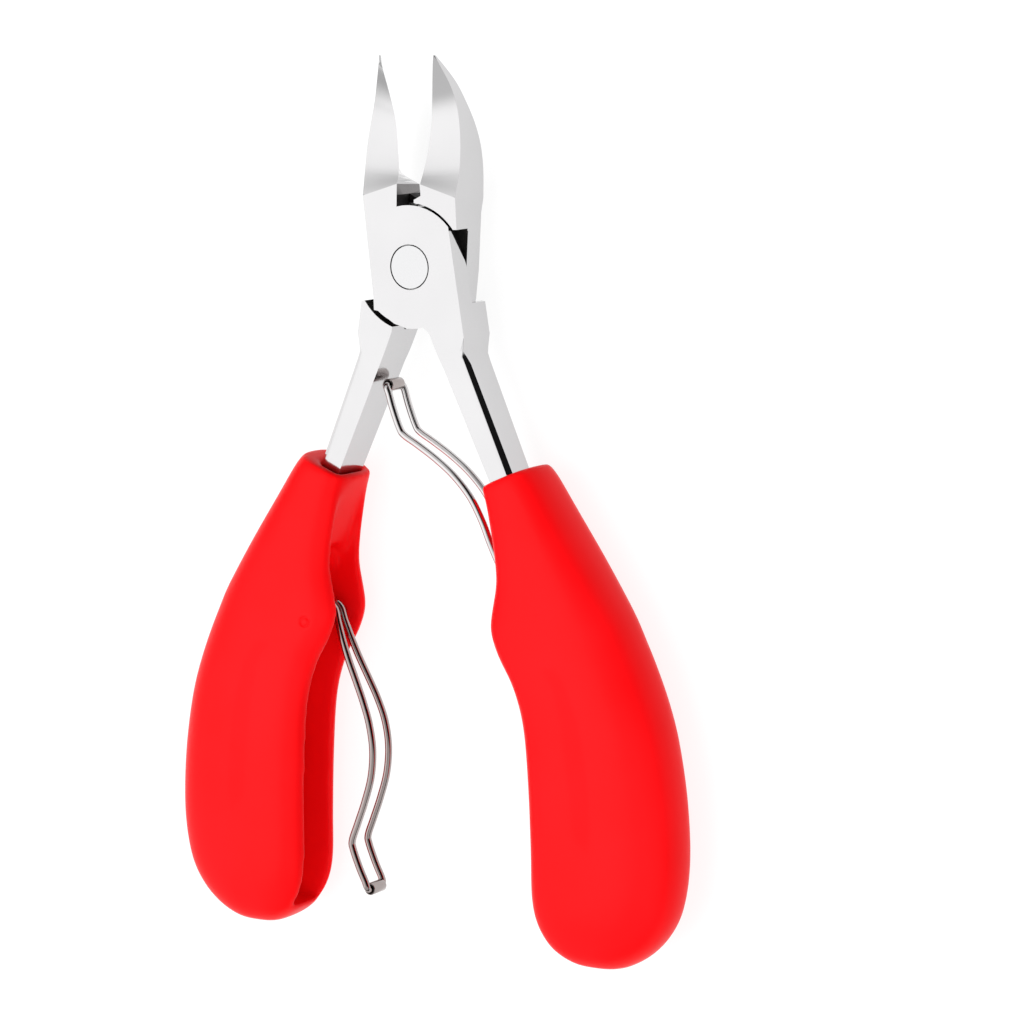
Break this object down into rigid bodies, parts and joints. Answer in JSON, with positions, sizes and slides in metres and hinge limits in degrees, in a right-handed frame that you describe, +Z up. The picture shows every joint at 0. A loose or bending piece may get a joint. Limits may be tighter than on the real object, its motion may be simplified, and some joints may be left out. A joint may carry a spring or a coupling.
{
  "type": "nail clipper",
  "caption": "Plier-type nail clipper: two forged steel levers crossing at a flush rivet, hollow-ground tapered jaws, red moulded grips and hairpin bow springs on pins.",
  "frame": {"origin": "centre of the bounding box, at the underside, where the grips rest on a table", "axes": "+X to the right and +Y from the grips to the jaw tips, seen from the front; +Z up, out of the clipper's front face as it lies on its back"},
  "size_m": [0.0832, 0.1268, 0.0136],
  "materials": {
    "polished_steel": "polished forged steel",
    "spring_steel": "bright spring wire",
    "red_soft_grip": "satin red soft moulding"
  },
  "bodies": {
    "back_handle": {"back_lever": "polished_steel", "pivot_rivet": "polished_steel", "left_grip": "red_soft_grip", "left_spring_pin": "spring_steel"},
    "front_handle": {"front_lever": "polished_steel", "right_grip": "red_soft_grip", "right_spring_pin": "spring_steel"},
    "right_spring": {"right_spring_wire": "spring_steel"},
    "right_roller": {"right_spring_roller": "spring_steel"},
    "left_spring": {"left_spring_wire": "spring_steel"},
    "left_roller": {"left_spring_roller": "spring_steel"}
  },
  "joints": [
    {"name": "handles_close", "type": "hinge", "parent": "back_handle", "child": "front_handle", "pos_m": [0, 0.034, 0.0068], "axis": [0, 0, -1], "range_deg": [0, 16.2], "stiffness_Nm_per_rad": 0.8},
    {"name": "right_spring_follow", "type": "hinge", "parent": "front_handle", "child": "right_spring", "pos_m": [0.0167, -0.0169, 0.0068], "axis": [0, 0, -1], "range_deg": [0, 5.84]},
    {"name": "right_spring_flex", "type": "slide", "parent": "right_spring", "child": "right_roller", "axis": [0.5409, -0.8411, 0], "range_m": [0, 0.00314], "deforming": ["right_spring_wire"]},
    {"name": "left_spring_swing", "type": "hinge", "parent": "back_handle", "child": "left_spring", "pos_m": [-0.0167, -0.0169, 0.0068], "axis": [0, 0, 1], "range_deg": [-26, 17]},
    {"name": "left_roller_spin", "type": "hinge", "parent": "left_spring", "child": "left_roller", "pos_m": [-0.00936, -0.05653, 0.0068], "axis": [0, 0, 1], "continuous": true}
  ],
  "couplings": [
    {"joint": "right_spring_follow", "follows": "handles_close", "ratio": 0.358},
    {"joint": "right_spring_flex", "follows": "handles_close", "m_per_rad": 0.011014}
  ]
}
